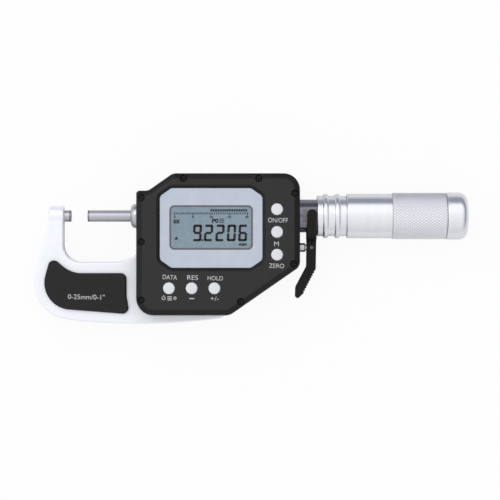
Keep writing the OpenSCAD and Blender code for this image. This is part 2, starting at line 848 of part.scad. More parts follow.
// Plate on the collar's tail that holds the thimble and keeps the spindle from turning
module key_plate() {
    color("dimgray") union() {
        turned([
            [inner_r, tail_end], [key_plate_r, tail_end],
            [key_plate_r, tail_end + key_plate_t], [inner_r, tail_end + key_plate_t]
        ]);
        translate([tail_end, keyway_floor + 0.1, -keyway_w / 2 + run])
            cube([key_plate_t, inner_r - keyway_floor + 0.4, keyway_w - 2 * run]);
    }
}

// Coil spring round the sleeve's neck, between the collar's shoulder and the stop
module return_spring() {
    ring_n = 6;
    turn_n = 20;
    steps = spring_turns * turn_n;
    wire_r = spring_wire / 2;
    rise = (spring_end - spring_x - spring_wire) / steps;
    points = [for (i = [0:steps], j = [0:ring_n - 1])
        let (a = 360 * i / turn_n, b = 360 * j / ring_n, r = spring_r + wire_r * cos(b))
        [spring_x + wire_r + rise * i + wire_r * sin(b), r * cos(a), r * sin(a)]];
    sides = [for (i = [0:steps - 1], j = [0:ring_n - 1])
        let (k = (j + 1) % ring_n, p = i * ring_n, q = p + ring_n)
        each [[p + j, q + j, q + k], [p + j, q + k, p + k]]];
    color("slategray") polyhedron(points, concat(
        sides, [[for (j = [0:ring_n - 1]) j]], [[for (j = [ring_n - 1:-1:0]) steps * ring_n + j]]
    ));
}

// Thimble, turned down under the knurled grip, with the web that holds the nut
module thimble() {
    color("silver") turned([
        [bore_r, thimble_x], [thimble_r - 0.35, thimble_x], [thimble_r, thimble_x + 0.35],
        [thimble_r, knurl_x], [knurl_in_r, knurl_x], [knurl_in_r, cap_x],
        [back_bore_r, cap_x], [back_bore_r, web_end], [nut_r + fit, web_end],
        [nut_r + fit, web_x], [bore_r, web_x]
    ]);
}

// Bearing bush pressed into the thimble, running on the collar's tail
module thimble_bush() {
    color("peru") turned([
        [tail_r + run, thimble_x + 1], [bore_r - fit, thimble_x + 1],
        [bore_r - fit, tail_end - 0.3], [tail_r + run, tail_end - 0.3]
    ]);
}

module drive_nut() {
    color("goldenrod") turned([
        [screw_r + run, nut_x], [nut_r, nut_x], [nut_r, nut_x + nut_l], [screw_r + run, nut_x + nut_l]
    ]);
}

module knurled_grip() {
    chamfer = 0.5;
    color("silver") turned([
        [knurl_in_r + fit, knurl_x], [knurl_r - chamfer, knurl_x], [knurl_r, knurl_x + chamfer],
        [knurl_r, cap_x - chamfer], [knurl_r - chamfer, cap_x], [knurl_in_r + fit, cap_x]
    ]);
}

// Domed cap, hollow for the spindle's end
module end_cap() {
    soft = 4.6;
    dome = 0.5;
    chamfer = 0.4;
    spigot_wall = 2;
    spigot_out = back_bore_r - fit;
    hollow = spigot_out - spigot_wall;
    color("silver") turned(concat(
        [[hollow, cap_x - cap_spigot], [spigot_out, cap_x - cap_spigot], [spigot_out, cap_x]],
        [[end_cap_r - chamfer, cap_x], [end_cap_r, cap_x + chamfer]],
        arc([end_cap_r - soft, end_x - dome - soft], soft, 0, 84, 8),
        [[0, end_x], [0, end_x - cap_wall], [hollow, end_x - cap_wall]]
    ));
}

// Spindle that slides without turning, with its screw and keyway
module spindle() {
    color("silver") difference() {
        turned([
            [0, gap + tip_t], [spindle_r, gap + tip_t], [spindle_r, screw_x - 0.7],
            [screw_r, screw_x], [screw_r, spindle_end - 0.5], [screw_r - 0.5, spindle_end], [0, spindle_end]
        ]);
        translate([keyway_x, keyway_floor, -keyway_w / 2])
            cube([keyway_end - keyway_x, screw_r, keyway_w]);
    }
}

module spindle_tip() {
    color("dimgray") bar(gap, gap + tip_t, spindle_r);
}

// Saddle that carries the scale out through the sleeve's slot
module scale_bracket() {
    color("silver") difference() {
        translate([scale_mid - bracket_l / 2, -bracket_w / 2, 0]) cube([bracket_l, bracket_w, scale_z]);
        bar(scale_mid - bracket_l, scale_mid + bracket_l, spindle_r + fit);
    }
}

module glass_scale() {
    color("lightsteelblue") translate([scale_mid - scale_l / 2, -scale_w / 2, scale_z])
        cube([scale_l, scale_w, scale_t]);
}

// Key with a soft-edged cap, held under the face by its flange
module key(at) {
    r = key_d / 2;
    soft = 0.5;
    top = housing_front + key_proud;
    color("#dcdfe3") translate([at.x, at.y, 0]) rotate_extrude($fn = fn_turned) polygon(concat(
        [[0, key_lip_z - key_flange], [r + 1, key_lip_z - key_flange], [r + 1, key_lip_z], [r, key_lip_z]],
        arc([r - soft, top - 0.15 - soft], soft, 0, 85, 5),
        [[0, top]]
    ));
}

module key_on_off() { key(key_places[0]); }
module key_mode() { key(key_places[1]); }
module key_zero() { key(key_places[2]); }
module key_data() { key(key_places[3]); }
module key_resolution() { key(key_places[4]); }
module key_hold() { key(key_places[5]); }

// Round cap over the coin cell, with a slot for a coin
module battery_cap() {
    slot_l = 16;
    coin_w = 1.8;
    slot_deep = 0.7;
    color("#2c2b2d") difference() {
        post(cell_at, cap_turn_z, cap_turn_z + cap_turn_t, cap_turn_r);
        translate([cell_at.x, cell_at.y, cap_turn_z]) cube([slot_l, coin_w, 2 * slot_deep], center = true);
    }
}

frame();
anvil();
anvil_tip();
front_grip();
rear_grip();
spindle_bush();
sleeve();
spring_stop();
housing_body();
front_cover();
cover_screws();
frame_screws();
display_panel();
display_glass();
circuit_board();
key_switches();
reader_head();
coin_cell();
cell_contact();
data_socket();
fork_stud();
stud_nut();
fork_pin();
retract_fork();
retract_collar();
key_plate();
return_spring();
thimble();
thimble_bush();
drive_nut();
knurled_grip();
end_cap();
spindle();
spindle_tip();
scale_bracket();
glass_scale();
key_on_off();
key_mode();
key_zero();
key_data();
key_resolution();
key_hold();
battery_cap();
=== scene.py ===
import bmesh
import bpy
import mathutils
import numpy as np
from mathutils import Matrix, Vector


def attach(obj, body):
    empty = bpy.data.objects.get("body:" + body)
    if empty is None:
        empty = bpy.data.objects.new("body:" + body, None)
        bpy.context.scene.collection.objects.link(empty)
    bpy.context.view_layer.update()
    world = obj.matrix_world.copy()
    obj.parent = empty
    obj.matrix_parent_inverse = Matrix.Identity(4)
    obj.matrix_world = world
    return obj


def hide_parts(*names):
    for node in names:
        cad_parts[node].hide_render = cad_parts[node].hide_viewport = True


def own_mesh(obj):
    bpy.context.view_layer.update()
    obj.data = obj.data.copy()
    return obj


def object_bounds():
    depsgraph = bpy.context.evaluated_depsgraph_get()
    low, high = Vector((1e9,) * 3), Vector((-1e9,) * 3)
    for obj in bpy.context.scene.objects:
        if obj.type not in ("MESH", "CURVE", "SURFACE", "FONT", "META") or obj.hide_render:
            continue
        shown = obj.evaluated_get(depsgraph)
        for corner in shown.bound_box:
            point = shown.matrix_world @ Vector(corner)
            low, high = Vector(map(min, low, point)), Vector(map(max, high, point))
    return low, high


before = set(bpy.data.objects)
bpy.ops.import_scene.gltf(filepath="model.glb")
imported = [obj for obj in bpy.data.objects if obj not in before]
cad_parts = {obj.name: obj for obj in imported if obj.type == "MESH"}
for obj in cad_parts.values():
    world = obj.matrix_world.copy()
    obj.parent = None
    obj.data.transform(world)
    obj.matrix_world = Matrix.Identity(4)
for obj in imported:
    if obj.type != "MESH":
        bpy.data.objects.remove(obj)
cad_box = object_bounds()


# Camera: straight above the micrometer as it lies on its back, a metre away with a long lens, so that
# the measuring axis runs level across the picture. Sizes are in millimetres, apart from picture points,
# which are counted from the picture's upper left corner.
mm = 0.001
picture_points, point_size = 500, 0.555
picture_middle = np.array([99.14, -18.87])
eye_height = 1000.0
camera = bpy.data.objects.new("camera", bpy.data.cameras.new("camera"))
camera.data.lens = camera.data.sensor_width * eye_height / (picture_points * point_size)
camera.location = (*picture_middle * mm, eye_height * mm)
bpy.context.scene.collection.objects.link(camera)
bpy.context.scene.camera = camera


# Bow frame: one forging with the anvil arm, the bow and the arm inside the housing, its edges eased
# all round, sprayed with satin silver enamel. The anvil's boss is turned on the end of its arm.
def rounded_path(corners, inset=0.0, steps=9, lead=0.0, closed=True):
    """Path round corners [x, y, radius], moved inwards: each corner is an arc between its two edges,
    about the point that lies its radius off both, with a lead point on the straight at either end."""
    least_radius = 0.02
    corners = np.asarray(corners, float)
    points = corners[:, :2]
    into = points - np.roll(points, 1, axis=0)
    into /= np.linalg.norm(into, axis=1)[:, None]
    onward = np.roll(into, -1, axis=0)
    left_into = into[:, ::-1] * [-1, 1]
    left_onward = onward[:, ::-1] * [-1, 1]
    bend = np.arctan2(into[:, 0] * onward[:, 1] - into[:, 1] * onward[:, 0], (into * onward).sum(1))
    side = np.where(bend < 0, -1.0, 1.0)
    radius = np.maximum(corners[:, 2] - side * inset, least_radius)
    inwards = (left_into + left_onward) / (1 + (left_into * left_onward).sum(1))[:, None]
    centre = points + (inset + side * radius)[:, None] * inwards
    start = np.arctan2(-side * left_into[:, 1], -side * left_into[:, 0])
    angle = start[:, None] + bend[:, None] * np.linspace(0, 1, steps)
    arcs = centre[:, None] + radius[:, None, None] * np.stack([np.cos(angle), np.sin(angle)], axis=-1)
    if lead > 0:
        before = arcs[:, :1] - lead * into[:, None]
        after = arcs[:, -1:] + lead * onward[:, None]
        arcs = np.concatenate([before, arcs, after], axis=1)
    if closed:
        return arcs.reshape(-1, 2)
    return np.concatenate([points[:1], arcs[1:-1].reshape(-1, 2), points[-1:]])


def at_height(path, height):
    """Flat path lifted to a height."""
    return np.insert(path, 2, height, axis=1)


def carried(rings, ends="capped"):
    """Skin over rings of equal count: each face joins two neighbours on one ring to those on the next.
    The end rings are capped with flat faces, or joined to each other."""
    rows, count = rings.shape[:2]
    grid = np.arange(rows * count).reshape(rows, count)
    bands = np.vstack([grid, grid[:1]]) if ends == "joined" else grid
    here, there = bands[:-1], bands[1:]
    faces = np.stack([here, np.roll(here, -1, axis=1), np.roll(there, -1, axis=1), there], axis=-1)
    faces = faces.reshape(-1, 4).tolist()
    if ends == "capped":
        faces += [grid[0, ::-1].tolist(), grid[-1].tolist()]
    return rings.reshape(-1, 3), faces


def rounded_slab(corners, low, high, ease_low, ease_high, steps):
    """Plate on an outline between two heights: a quarter round of the given radius is carried round the
    lower and the upper rim, so a ring at angle a is the outline moved in by r(1 - sin a). A narrow band
    of each flat face follows inside its rim."""
    band, lead = 0.4, 0.3
    up = np.linspace(0, np.pi / 2, 6)
    down = up[::-1]
    insets = np.concatenate([[ease_low + band], ease_low * (1 - np.sin(up)),
                             ease_high * (1 - np.sin(down)), [ease_high + band]])
    heights = np.concatenate([[low], low + ease_low * (1 - np.cos(up)),
                              high - ease_high * (1 - np.cos(down)), [high]])
    rings = [at_height(rounded_path(corners, inset, steps, lead), height)
             for inset, height in zip(insets, heights)]
    return carried(np.stack(rings))


def turned(profile, count=120, closed=False):
    """Profile of points [x, radius] carried round the measuring axis: y and z are the radius times the
    cosine and sine of the turn."""
    turn = np.linspace(0, 2 * np.pi, count, endpoint=False)
    x, radius = np.asarray(profile, float).T[:, :, None]
    rings = np.stack([np.repeat(x, count, 1), radius * np.cos(turn), radius * np.sin(turn)], axis=-1)
    return carried(rings, "joined" if closed else "capped")


def turned_rod(start, end, radius, ease_start, ease_end, steps=5, lead=0.05):
    """Rod on the measuring axis with rounded rims: its profile runs out from the axis, along the rod and
    back in, and is carried round."""
    core = 0.05
    corners = [(start, core, 0), (start, radius, ease_start), (end, radius, ease_end), (end, core, 0)]
    return turned(rounded_path(corners, 0, steps, lead, closed=False))


def tint(red, green, blue):
    """Colour from three values of 0 to 255 as seen, made linear."""
    seen = np.array([red, green, blue]) / 255
    return (*np.where(seen <= 0.04045, seen / 12.92, ((seen + 0.055) / 1.055) ** 2.4), 1.0)


def add_node(tree, kind, **values):
    """New shader node: each value sets the node's own property of that name, or else its input."""
    node = tree.nodes.new("ShaderNode" + kind)
    for name, value in values.items():
        if hasattr(node, name):
            setattr(node, name, value)
        else:
            node.inputs[name.replace("_", " ")].default_value = value
    return node


def join_nodes(tree, *pairs):
    """Links each pair of an output and an input."""
    for source, target in pairs:
        tree.links.new(source, target)


# The places of a Mix node's sockets, since its values and its colours share their names.
value_a, value_b = 2, 3
colour_a, colour_b, colour_out = 6, 7, 2
grain = bpy.data.node_groups.new("surface_grain", "ShaderNodeTree")
grain_takes = {"Place": "Vector", "Dark": "Color", "Light": "Color", "Smooth": "Float", "Rough": "Float"}
grain_gives = {"Colour": "Color", "Roughness": "Float", "Height": "Float"}
for direction, sockets in (("INPUT", grain_takes), ("OUTPUT", grain_gives)):
    for socket, kind in sockets.items():
        grain.interface.new_socket(socket, in_out=direction, socket_type="NodeSocket" + kind)
grain_in = grain.nodes.new("NodeGroupInput")
grain_out = grain.nodes.new("NodeGroupOutput")
fine_noise = add_node(grain, "TexNoise", Scale=1.0, Detail=3.0)
broad_noise = add_node(grain, "TexNoise", Scale=0.04, Detail=2.0)
both = add_node(grain, "Mix", Factor=0.4)
spread = add_node(grain, "MapRange", From_Min=0.35, From_Max=0.65)
shade = add_node(grain, "Mix", data_type="RGBA")
dull = add_node(grain, "MapRange")
join_nodes(
    grain,
    (grain_in.outputs["Place"], fine_noise.inputs["Vector"]),
    (grain_in.outputs["Place"], broad_noise.inputs["Vector"]),
    (fine_noise.outputs["Fac"], both.inputs[value_a]),
    (broad_noise.outputs["Fac"], both.inputs[value_b]),
    (both.outputs[0], spread.inputs["Value"]),
    (spread.outputs["Result"], shade.inputs[0]),
    (grain_in.outputs["Dark"], shade.inputs[colour_a]),
    (grain_in.outputs["Light"], shade.inputs[colour_b]),
    (spread.outputs["Result"], dull.inputs["Value"]),
    (grain_in.outputs["Smooth"], dull.inputs["To Min"]),
    (grain_in.outputs["Rough"], dull.inputs["To Max"]),
    (shade.outputs[colour_out], grain_out.inputs["Colour"]),
    (dull.outputs["Result"], grain_out.inputs["Roughness"]),
    (fine_noise.outputs["Fac"], grain_out.inputs["Height"]),
)


def finish(name, dark, light, size, roughness, relief, stretch=(1, 1, 1), **shader_values):
    """Material whose colour, gloss and height wander with the surface grain: size is the grain in
    millimetres, relief its height, and stretch draws it out along an axis."""
    material = bpy.data.materials.new(name)
    material.use_nodes = True
    tree = material.node_tree
    shader = tree.nodes["Principled BSDF"]
    place = add_node(tree, "TexCoord")
    mapping = add_node(tree, "Mapping", Scale=np.array(stretch) / (size * mm))
    smooth, rough = roughness
    texture = add_node(tree, "Group", node_tree=grain, Dark=dark, Light=light, Smooth=smooth, Rough=rough)
    bump = add_node(tree, "Bump", Distance=relief * mm)
    join_nodes(
        tree,
        (place.outputs["Object"], mapping.inputs["Vector"]),
        (mapping.outputs["Vector"], texture.inputs["Place"]),
        (texture.outputs["Colour"], shader.inputs["Base Color"]),
        (texture.outputs["Roughness"], shader.inputs["Roughness"]),
        (texture.outputs["Height"], bump.inputs["Height"]),
        (bump.outputs["Normal"], shader.inputs["Normal"]),
    )
    for socket, value in shader_values.items():
        shader.inputs[socket.replace("_", " ")].default_value = value
    return material


def put(name, mesh, material, body, stands_for=()):
    """Object at the origin with its place in its mesh, riding on a body of the frame."""
    mesh.materials.clear()
    mesh.materials.append(material)
    obj = bpy.data.objects.new(name, mesh)
    bpy.context.scene.collection.objects.link(obj)
    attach(obj, body)
    if stands_for:
        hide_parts(*stands_for)
    return obj


def piece(name, shapes, material, body, stands_for=(), crease=32):
    """One object from shapes in millimetres, each its points and its faces; edges that bend more than
    the crease angle stay crisp."""
    starts = np.cumsum([0] + [len(points) for points, _ in shapes])
    points = np.concatenate([points for points, _ in shapes]) * mm
    faces = [[start + i for i in face] for start, (_, group) in zip(starts, shapes) for face in group]
    mesh = bpy.data.meshes.new(name)
    mesh.from_pydata(points.tolist(), [], faces)
    mesh.shade_smooth()
    mesh.set_sharp_from_angle(angle=np.radians(crease))
    return put(name, mesh, material, body, stands_for)


silver_enamel = finish("silver_enamel", tint(239, 241, 246), tint(245, 247, 251), 0.35, (0.30, 0.40), 0.003,
                       Metallic=0.15, Coat_Weight=0.35, Coat_Roughness=0.2)
bow_corners = [
    (-12.1, 3.63, 1.6), (-12.1, -3.3, 3), (-26.007, -54.485, 21), (38.6, -61.732, 340), (101, -54.6, 8),
    (57.2, -22, 6), (57.2, 5, 1.6), (44, 5, 1.6), (44, -25.5, 19.5), (-4, -25.5, 9.6), (-4, 3.63, 1.6),
]
bow_half, bow_ease = 5.0, 0.95
anvil_boss = {"start": -12.25, "end": -3.85, "radius": 5.45, "ease_start": 1.1, "ease_end": 0.8}
sleeve_boss = {"start": 41.4, "end": 58, "radius": 10.5, "ease_start": 0.3, "ease_end": 0.3}
piece("bow_frame", [
    rounded_slab(bow_corners, -bow_half, bow_half, bow_ease, bow_ease, steps=17),
    turned_rod(**anvil_boss, steps=7, lead=0.3),
    turned_rod(**sleeve_boss, steps=4, lead=0.2),
], silver_enamel, "frame_body", ["frame"])


# Anvil: a ground and lapped steel rod pressed into its boss, with a carbide tip brazed on its end. The
# tip's face is the origin of the frame.
turning_marks = (1, 0.03, 0.03)
ground_steel = finish("ground_steel", tint(187, 186, 195), tint(192, 191, 199), 0.16, (0.40, 0.42), 0.0001,
                      turning_marks, Metallic=1.0)
carbide = finish("carbide", tint(120, 122, 126), tint(142, 144, 148), 0.2, (0.22, 0.34), 0.001, Metallic=1.0)
spindle_r, tip_t = 3.175, 0.9
anvil_start, anvil_ease, braze_ease, tip_ease = -10.3, 0.3, 0.06, 0.12
piece("anvil_rod", [turned_rod(anvil_start, -tip_t, spindle_r, anvil_ease, braze_ease)], ground_steel,
      "frame_body", ["anvil"])
piece("anvil_carbide", [turned_rod(-tip_t, 0, spindle_r, braze_ease, tip_ease)], carbide,
      "frame_body", ["anvil_tip"])


# Grip plates: moulded black plastic, glued to both sides of the bow to keep the hand's warmth off it.
# The measuring range is printed in white on the front one.
grip_plastic = finish("grip_plastic", tint(20, 17, 18), tint(27, 24, 25), 0.3, (0.42, 0.54), 0.012,
                      Specular_IOR_Level=0.28)
# The smooth black on eased edges and in the cover's step is smoother than the grained plastic, and its darker
# colour is painted shade on those bevels and walls.
smooth_black_painted_shade = finish("smooth_black_painted_shade", tint(14, 12, 11), tint(19, 17, 16), 0.6, (0.28, 0.34), 0.001,
                      Specular_IOR_Level=0.28)
grip_corners = [
    (-10.893, -22.124, 3.2), (-18.575, -50.397, 14.9), (32.8, -54.35, 3.3), (31.0, -44.35, 8),
    (31.0, -31.6, 3.3), (0.4, -31.6, 15.7),
]
grip_t, grip_ease, glued_ease = 1.9, 0.8, 0.02


def second_finish_with_painted_shade(obj, material, limit=0.985, level=False):
    """Second finish on every face that leans away from the level, or on the level ones: a face leans when
    the upward part of its normal is under the limit."""
    # Each second finish given here is darker than the first: painted shade on the faces that take it.
    obj.data.materials.append(material)
    normals = np.empty(len(obj.data.polygons) * 3, dtype=np.float32)
    obj.data.polygons.foreach_get("normal", normals)
    leaning = np.abs(normals[2::3]) < limit
    obj.data.polygons.foreach_set("material_index", (leaning != level).astype(np.int32))


for side, low, high, ease_low, ease_high in (
    ("front", bow_half, bow_half + grip_t, glued_ease, grip_ease),
    ("rear", -bow_half - grip_t, -bow_half, grip_ease, glued_ease),
):
    slab = rounded_slab(grip_corners, low, high, ease_low, ease_high, steps=15)
    plate = piece(side + "_grip_plate", [slab], grip_plastic, "frame_body", [side + "_grip"])
    # The plates' edges take the darker smooth black: a smoother finish with painted shade.
    second_finish_with_painted_shade(plate, smooth_black_painted_shade)


def lettering(words, at, width, cap, height, lean=0.0, bold=0.0):
    """Words as a thin flat mesh: the font's outline, moved out by the bold share, stretched to a width and
    a cap height about its middle, turned by the lean in degrees and laid at a height."""
    ink_half = 0.012
    curve = bpy.data.curves.new("words", "FONT")
    curve.body = words
    curve.extrude = 0.004
    curve.offset = bold
    holder = bpy.data.objects.new("words", curve)
    mesh = bpy.data.meshes.new_from_object(holder)
    points = np.empty(len(mesh.vertices) * 3)
    mesh.vertices.foreach_get("co", points)
    points = points.reshape(-1, 3)
    faces = [list(face.vertices) for face in mesh.polygons]
    low, high = points.min(0), points.max(0)
    flat = (points[:, :2] - (low + high)[:2] / 2) * [width, cap] / (high - low)[:2]
    angle = np.radians(lean)
    turn = np.array([[np.cos(angle), np.sin(angle)], [-np.sin(angle), np.cos(angle)]])
    bpy.data.objects.remove(holder)
    bpy.data.curves.remove(curve)
    bpy.data.meshes.remove(mesh)
    return np.column_stack([flat @ turn + at, height + ink_half * (1 + np.sign(points[:, 2]))]), faces


white_print = finish("white_print", tint(180, 180, 180), tint(204, 204, 204), 0.12, (0.4, 0.6), 0.003)
range_at, range_width, range_cap, range_lean = (8.9, -44.7), 20.2, 2.75, -1.2
range_words = lettering("0-25mm/0-1\"", range_at, range_width, range_cap, bow_half + grip_t, range_lean)
piece("range_lettering", [range_words], white_print, "frame_body")


# Spindle guide and sleeve: the hardened guide bush shows as a domed nose at the housing's left side; the
# sleeve is a turned tube that carries the collar, with two milled flats that the fork straddles.
satin_steel = finish("satin_steel", tint(186, 188, 195), tint(200, 202, 208), 0.14, (0.18, 0.26), 0.0004,
                     turning_marks, Metallic=1.0)
nose_x, seat_x, guide_end, guide_bore, guide_r, nose_r = 33.0, 41.4, 59, 3.225, 5.5, 6.8
nose_corners = [
    (nose_x, guide_bore, 0.3), (nose_x, nose_r, 2.9), (seat_x, nose_r, 0.1), (seat_x, guide_r, 0.1),
    (guide_end, guide_r, 0.1), (guide_end, guide_bore, 0.1),
]
piece("guide_nose", [turned(rounded_path(nose_corners, lead=0.05), closed=True)], satin_steel,
      "frame_body", ["spindle_bush"])


def merged_copy(node, crease=45):
    """Mesh of a solid with the points that its loose triangles share merged into one; edges that bend more
    than the crease angle stay crisp."""
    work = bmesh.new()
    work.from_mesh(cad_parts[node].data)
    bmesh.ops.remove_doubles(work, verts=work.verts, dist=1e-6)
    mesh = bpy.data.meshes.new(node + "_merged")
    work.to_mesh(mesh)
    work.free()
    if "custom_normal" in mesh.attributes:
        mesh.attributes.remove(mesh.attributes["custom_normal"])
    mesh.shade_smooth()
    mesh.set_sharp_from_angle(angle=np.radians(crease))
    return mesh


def ease_edges(obj, width, crease=30, segments=2):
    """Live round on an object's sharp edges, with the large faces kept flat in shade."""
    bevel = obj.modifiers.new("ease", "BEVEL")
    bevel.width = width * mm
    bevel.segments = segments
    bevel.limit_method = "ANGLE"
    bevel.angle_limit = np.radians(crease)
    bevel.miter_outer = "MITER_ARC"
    weighted = obj.modifiers.new("flat_shade", "WEIGHTED_NORMAL")
    weighted.keep_sharp = True


# The sleeve's steel is coloured far darker than bare steel, and its milled flats darker again: painted shade
# from the housing and a painted dark reflection along the sleeve.
polished_steel_painted_shade = finish("polished_steel_painted_shade", tint(116, 117, 125), tint(128, 129, 137), 0.14, (0.1, 0.16), 0.0002,
                        turning_marks, Metallic=1.0)
milling_marks = (0.03, 1, 1)
milled_steel_painted_shade = finish("milled_steel_painted_shade", tint(100, 97, 102), tint(124, 120, 125), 0.2, (0.2, 0.3), 0.0006,
                      milling_marks, Metallic=1.0)
sleeve_tube = put("sleeve_tube", merged_copy("sleeve"), polished_steel_painted_shade,
                  "frame_body", ["sleeve"])
second_finish_with_painted_shade(sleeve_tube, milled_steel_painted_shade, limit=0.995, level=True)
ease_edges(sleeve_tube, width=0.12)


# Housing: two moulded shells of matt black plastic with a spark-eroded grain. The rear shell holds the
# frame and the battery; the front cover is bevelled all round and sinks in a step round the display.
housing_plastic = finish("housing_plastic", tint(22, 20, 20), tint(30, 27, 27), 0.22, (0.42, 0.52), 0.008,
                         Specular_IOR_Level=0.4)
for shell, node in (("rear_shell", "housing_body"), ("cover_shell", "front_cover")):
    moulding = put(shell, merged_copy(node), housing_plastic, "frame_body", [node])
    ease_edges(moulding, width=0.12)
    # The bevels and the wall of the step round the display take the darker smooth black: a smoother finish
    # with painted shade.
    second_finish_with_painted_shade(moulding, smooth_black_painted_shade)


# Housing screws: eight small black screws sunk in wells hold the cover, and three larger ones from the
# back hold the housing to the frame. Each has a rounded head with a cross recess.
black_screw = finish("black_screw", tint(40, 37, 37), tint(50, 47, 47), 0.15, (0.3, 0.42), 0.002,
                     Metallic=0.3)


def cross_screw(at, tip, seat, top, shank_r, head_r):
    """Screw along z: rings run up the shank and in over the head, whose crown falls off with the fourth
    power of the radius, and the head sinks where a point lies near one of the two lines of the cross."""
    up = np.sign(top - seat)
    crown, arm_half, arm_end, recess = np.array([0.18, 0.17, 0.62, 0.55]) * head_r
    side_slope, end_slope = 1.6, 3
    shank = [0.05 * shank_r, shank_r, shank_r, head_r, head_r]
    share = np.array([0.97, 0.9, 0.8, 0.7, 0.62, 0.54, 0.46, 0.38, 0.3, 0.22, 0.14, 0.06])
    radius = np.concatenate([shank, head_r * share])[:, None]
    height = np.concatenate([[tip, tip, seat, seat, top - up * crown],
                             top - up * crown * share ** 4])[:, None]
    turn = np.linspace(0, 2 * np.pi, 64, endpoint=False)
    x, y = radius * np.cos(turn), radius * np.sin(turn)
    across = np.minimum(np.abs(x), np.abs(y)) / arm_half
    along = np.hypot(x, y) / arm_end
    on_head = np.arange(len(radius))[:, None] >= len(shank)
    sunk = np.clip(side_slope * (1 - across), 0, 1) * np.clip(end_slope * (1 - along), 0, 1) * on_head
    rings = np.stack([at[0] + x, at[1] + y, height - up * recess * sunk], axis=-1)
    return carried(rings if up > 0 else rings[:, ::-1])


cover_screw_places = [
    (39.8, 9.8), (39.8, -14.4), (39.8, -46.2), (62.8, 20.2), (103.9, 20.2), (123.6, 12.1), (122.9, -26.4),
    (94.04, -46.96),
]
frame_screw_places = [(50.6, -16), (50.6, -42), (78, -48.5)]
cover_screw = {"tip": -1, "seat": 13.5, "top": 15, "shank_r": 1, "head_r": 1.85}
frame_screw = {"tip": 0, "seat": -11.3, "top": -13.1, "shank_r": 1.5, "head_r": 2.7}
piece("cover_screw_set", [cross_screw(at, **cover_screw) for at in cover_screw_places], black_screw,
      "frame_body", ["cover_screws"])
piece("frame_screw_set", [cross_screw(at, **frame_screw) for at in frame_screw_places], black_screw,
      "frame_body", ["frame_screws"])


# Display: a panel printed light blue-grey lies in the cover's step, with a window for the liquid crystal
# glass behind it. A dark line is printed round the window, and the glass shows a reading in black.
panel_print = finish("panel_print", tint(182, 190, 204), tint(192, 199, 212), 0.25, (0.34, 0.42), 0.002)
panel_middle, panel_half, panel_cut = np.array([[77.925, -6.85], [28.025, 21.75], [6.3, 4.4]])
panel_top, panel_deep, panel_ease, panel_band, panel_r = 16.4, 0.8, 0.12, 0.4, 3
(side_x, end_y), (knee_x, knee_y) = panel_half, panel_half - panel_cut
panel_corners = [
    (-knee_x, end_y, panel_r), (-side_x, knee_y, panel_r), (-side_x, -knee_y, panel_r),
    (-knee_x, -end_y, panel_r), (knee_x, -end_y, panel_r), (side_x, -knee_y, panel_r),
    (side_x, knee_y, panel_r), (knee_x, end_y, panel_r),
]
window_middle, window_half = np.array([[77.925, -6.6], [22.1, 11.45]])
window_r, window_ease = 2, 0.1


def window_path(grow, radius):
    """Rounded rectangle round the window's middle, grown on all sides, from its upper left corner against
    the clock."""
    x, y = window_half + grow
    corners = [(-x, y, radius), (-x, -y, radius), (x, -y, radius), (x, y, radius)]
    return rounded_path(corners, steps=20) + window_middle


panel_rings = [
    at_height(rounded_path(panel_corners, inset, steps=10) + panel_middle, panel_top - drop)
    for inset, drop in ((0, panel_deep), (0, panel_ease), (panel_ease, 0), (panel_band, 0))
]
panel_rings += [
    at_height(window_path(grow, window_r), panel_top - drop)
    for grow, drop in ((panel_band, 0), (window_ease, 0), (0, window_ease), (0, panel_deep))
]
piece("printed_panel", [carried(np.stack(panel_rings), "joined")], panel_print,
      "frame_body", ["display_panel"])

border_print = finish("border_print", tint(96, 88, 90), tint(116, 108, 110), 0.2, (0.4, 0.5), 0.002)
border_w, border_lap, border_half = 0.75, 0.02, 0.02
border_rings = [
    at_height(window_path(grow, window_r + grow), panel_top + rise)
    for grow, rise in ((border_w, -border_half), (border_w, border_half), (-border_lap, border_half),
                       (-border_lap, -border_half))
]
piece("window_border", [carried(np.stack(border_rings), "joined")], border_print, "frame_body")

crystal = finish("liquid_crystal", tint(108, 131, 145), tint(125, 145, 156), 2.2, (0.22, 0.26), 0.0005,
                 Coat_Weight=0.5, Coat_Roughness=0.08)
glass_top, glass_step, glass_back = panel_top - 0.15, 15.5, 12.6
glass_margin, glass_play, glass_ease, glass_band, glass_r = 1.5, 0.15, 0.1, 0.6, 1.9
glass_rings = [
    at_height(window_path(grow, glass_r), height)
    for grow, height in (
        (glass_margin, glass_back), (glass_margin, glass_step), (-glass_play, glass_step),
        (-glass_play, glass_top - glass_ease), (-glass_play - glass_ease, glass_top),
        (-glass_band, glass_top),
    )
]
piece("crystal_glass", [carried(np.stack(glass_rings))], crystal, "frame_body", ["display_glass"])


def to_mm(across, down, height):
    """Place on the instrument of a point of the picture: its way from the picture's middle times the size
    of a point, brought in by the height's share of the eye's height."""
    half = picture_points / 2
    away = np.stack([np.asarray(across, float) - half, half - np.asarray(down, float)], axis=-1)
    return away * point_size * (1 - height / eye_height) + picture_middle


def marks(outlines, height, thick=0.03):
    """Thin flat marks from outlines of picture points, each run against the clock and made thick by the
    same amount below and above the height."""
    shapes = []
    for outline in outlines:
        flat = to_mm(*np.asarray(outline, float).T, height)
        rings = np.stack([at_height(flat, height - thick), at_height(flat, height + thick)])
        area = np.cross(flat, np.roll(flat, -1, axis=0)).sum()
        shapes.append(carried(rings if area > 0 else rings[:, ::-1]))
    return shapes


def bar_mark(left, top, right, bottom):
    """Outline of an upright rectangle in picture points."""
    return [(left, top), (right, top), (right, bottom), (left, bottom)]


